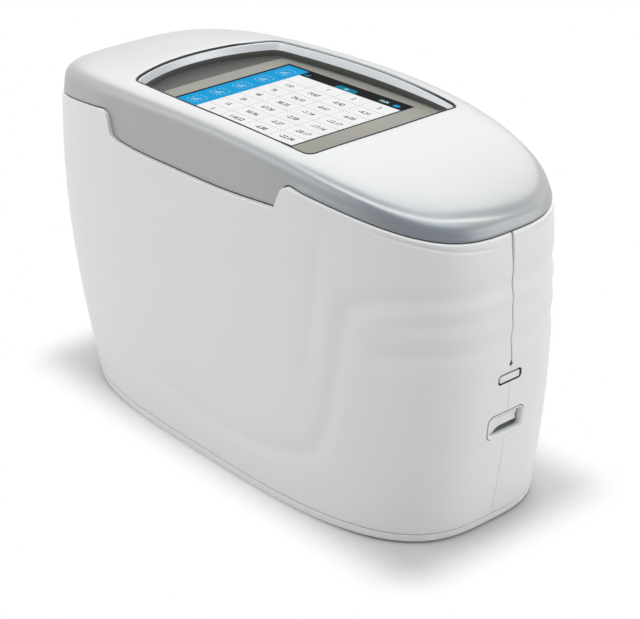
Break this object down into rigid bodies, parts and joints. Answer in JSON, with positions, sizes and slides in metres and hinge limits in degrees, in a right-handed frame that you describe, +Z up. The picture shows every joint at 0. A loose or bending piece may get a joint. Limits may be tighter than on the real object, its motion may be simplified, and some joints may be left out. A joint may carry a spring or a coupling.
{
  "type": "multi-angle spectrophotometer",
  "caption": "Free-standing hand-held colour meter: white split housing, silver top cover with a sunk touch screen, ports at the nose and a measuring aperture in its base.",
  "frame": {"origin": "on the surface the instrument stands on, below the middle of its bounding box", "axes": "+X towards the nose with the charging port and power rocker, +Y towards the right shell, +Z up"},
  "size_m": [0.2278, 0.091, 0.1329],
  "materials": {
    "white_housing": "soft satin white",
    "silver_paint": "satin silver paint",
    "bezel_glass": "glossy, dark printed border",
    "display_face": "lit colour display",
    "dark_rubber": "matte",
    "black_plastic": "matte",
    "steel": "plain",
    "anodised_aluminium": "anodised satin",
    "circuit_board": "solder mask",
    "optical_glass": "polished",
    "battery_wrap": "shrink wrap",
    "flat_cable": "film",
    "key_grey": "satin"
  },
  "bodies": {
    "housing": {"left_shell": "white_housing", "right_shell": "white_housing", "top_cover": "silver_paint", "screen_frame": "silver_paint", "touch_glass": "bezel_glass", "display_module": "display_face", "display_bracket": "steel", "display_cable": "flat_cable", "base_plate": "white_housing", "foot_pad_1": "dark_rubber", "foot_pad_2": "dark_rubber", "foot_pad_3": "dark_rubber", "foot_pad_4": "dark_rubber", "case_screw_1": "steel", "case_screw_2": "steel", "case_screw_3": "steel", "case_screw_4": "steel", "cover_screw_1": "steel", "cover_screw_2": "steel", "cover_screw_3": "steel", "cover_screw_4": "steel", "aperture_ring": "dark_rubber", "optics_block": "black_plastic", "receiver_as15_outer": "anodised_aluminium", "receiver_as15": "anodised_aluminium", "receiver_as25": "anodised_aluminium", "receiver_as45": "anodised_aluminium", "receiver_as75": "anodised_aluminium", "receiver_as110": "anodised_aluminium", "lamp_tube": "anodised_aluminium", "lamp_lens": "optical_glass", "lamp_board": "circuit_board", "contact_spring_1": "steel", "contact_spring_2": "steel", "contact_spring_3": "steel", "pin_guide_1": "black_plastic", "pin_guide_2": "black_plastic", "pin_guide_3": "black_plastic", "chassis": "anodised_aluminium", "main_board": "circuit_board", "shield_can": "steel", "buzzer": "black_plastic", "cable_socket": "black_plastic", "battery": "battery_wrap", "battery_strap": "steel", "measure_switch": "black_plastic", "key_board": "circuit_board", "port_board": "circuit_board", "charging_socket": "steel", "reset_switch": "black_plastic", "rocker_bezel": "white_housing", "power_switch": "black_plastic"},
    "key": {"measure_key": "key_grey"},
    "rocker": {"power_rocker": "white_housing"},
    "port_flap": {"port_cover": "white_housing"},
    "plunger": {"reset_plunger": "steel"},
    "pin_1": {"contact_pin_1": "steel"},
    "pin_2": {"contact_pin_2": "steel"},
    "pin_3": {"contact_pin_3": "steel"}
  },
  "joints": [
    {"name": "measure_press", "type": "slide", "parent": "housing", "child": "key", "axis": [1, 0, 0], "range_m": [0, 0.0008], "stiffness_N_per_m": 500, "springref_m": -0.001},
    {"name": "power_tilt", "type": "hinge", "parent": "housing", "child": "rocker", "pos_m": [0.10562, 0, 0.0424], "axis": [0, -1, 0], "range_deg": [0, 24]},
    {"name": "port_cover_swing", "type": "hinge", "parent": "housing", "child": "port_flap", "pos_m": [0.11242, -0.0048, 0.0602], "axis": [0, 0, -1], "range_deg": [0, 100]},
    {"name": "reset_press", "type": "slide", "parent": "housing", "child": "plunger", "axis": [-1, 0, 0], "range_m": [0, 0.0003], "stiffness_N_per_m": 300, "springref_m": -0.001},
    {"name": "contact_press_1", "type": "slide", "parent": "housing", "child": "pin_1", "axis": [0, 0, 1], "range_m": [0, 0.0008], "stiffness_N_per_m": 150, "springref_m": -0.002, "deforming": ["contact_spring_1"]},
    {"name": "contact_press_2", "type": "slide", "parent": "housing", "child": "pin_2", "axis": [0, 0, 1], "range_m": [0, 0.0008], "stiffness_N_per_m": 150, "springref_m": -0.002, "deforming": ["contact_spring_2"]},
    {"name": "contact_press_3", "type": "slide", "parent": "housing", "child": "pin_3", "axis": [0, 0, 1], "range_m": [0, 0.0008], "stiffness_N_per_m": 150, "springref_m": -0.002, "deforming": ["contact_spring_3"]}
  ]
}
